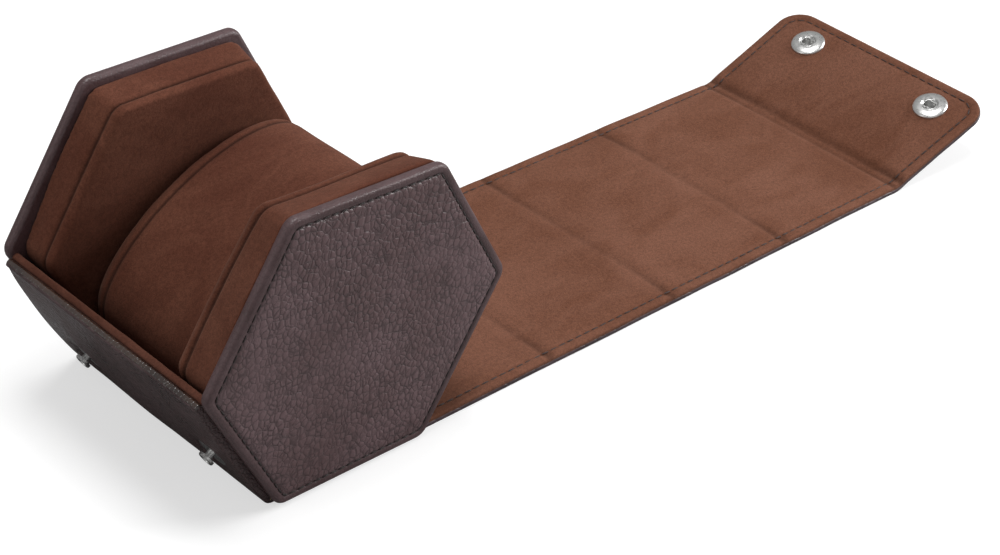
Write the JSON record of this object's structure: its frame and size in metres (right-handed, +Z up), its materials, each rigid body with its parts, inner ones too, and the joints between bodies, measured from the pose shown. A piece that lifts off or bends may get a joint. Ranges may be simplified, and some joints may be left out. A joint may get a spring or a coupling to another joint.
{
  "type": "watch travel case",
  "caption": "Hexagonal leather travel case for a wristwatch, with suede pads, a lift-out cushion and a fold-out wrap-round flap that snaps shut.",
  "frame": {"origin": "on the resting surface, under the middle of the hexagonal case body", "axes": "+X along the open flap, away from the case; +Y along the axis of the prism, towards the far end panel; +Z up"},
  "size_m": [0.3111, 0.081, 0.0828],
  "materials": {
    "brown_leather": "pebbled, semi-matt",
    "brown_suede": "brushed nap",
    "board": "plain",
    "foam": "plain foam",
    "snap_metal": "polished",
    "plate_metal": "plain",
    "spring_steel": "plain"
  },
  "bodies": {
    "case": {"near_panel_leather": "brown_leather", "near_panel_board": "board", "near_panel_backing": "brown_leather", "near_pad_foam": "foam", "near_pad_sleeve": "brown_suede", "near_pad_face": "brown_suede", "far_panel_leather": "brown_leather", "far_panel_board": "board", "far_panel_backing": "brown_leather", "far_pad_foam": "foam", "far_pad_sleeve": "brown_suede", "far_pad_face": "brown_suede", "front_leather": "brown_leather", "front_board": "board", "front_lining": "brown_suede", "bottom_leather": "brown_leather", "bottom_board": "board", "bottom_lining": "brown_suede", "back_leather": "brown_leather", "back_board": "board", "back_lining": "brown_suede", "snap_studs": "snap_metal", "stud_plates": "plate_metal"},
    "flap_panel_1": {"flap_1_leather": "brown_leather", "flap_1_board": "board", "flap_1_lining": "brown_suede"},
    "flap_panel_2": {"flap_2_leather": "brown_leather", "flap_2_board": "board", "flap_2_lining": "brown_suede"},
    "flap_panel_3": {"flap_3_leather": "brown_leather", "flap_3_board": "board", "flap_3_lining": "brown_suede"},
    "flap_panel_4": {"flap_4_leather": "brown_leather", "flap_4_board": "board", "flap_4_lining": "brown_suede"},
    "flap_tip": {"tip_leather": "brown_leather", "tip_board": "board", "tip_lining": "brown_suede", "snap_sockets": "snap_metal", "socket_springs": "spring_steel", "snap_caps": "snap_metal"},
    "cushion": {"cushion_sleeve": "brown_suede", "cushion_near_end": "brown_suede", "cushion_far_end": "brown_suede", "cushion_core": "foam"}
  },
  "joints": [
    {"name": "crease_1", "type": "hinge", "parent": "case", "child": "flap_panel_1", "pos_m": [0.02535, 0, 0.0013], "axis": [0, -1, 0], "range_deg": [0, 60]},
    {"name": "crease_2", "type": "hinge", "parent": "flap_panel_1", "child": "flap_panel_2", "pos_m": [0.07211, 0, 0.0013], "axis": [0, -1, 0], "range_deg": [0, 60]},
    {"name": "crease_3", "type": "hinge", "parent": "flap_panel_2", "child": "flap_panel_3", "pos_m": [0.12084, 0, 0.0013], "axis": [0, -1, 0], "range_deg": [0, 60]},
    {"name": "crease_4", "type": "hinge", "parent": "flap_panel_3", "child": "flap_panel_4", "pos_m": [0.16957, 0, 0.0013], "axis": [0, -1, 0], "range_deg": [0, 60]},
    {"name": "crease_5", "type": "hinge", "parent": "flap_panel_4", "child": "flap_tip", "pos_m": [0.22222, 0, 0.0013], "axis": [0, -1, 0], "range_deg": [-19, 39]},
    {"name": "cushion_lift", "type": "slide", "parent": "case", "child": "cushion", "axis": [0, 0, -1], "range_m": [-0.065, 0]}
  ]
}
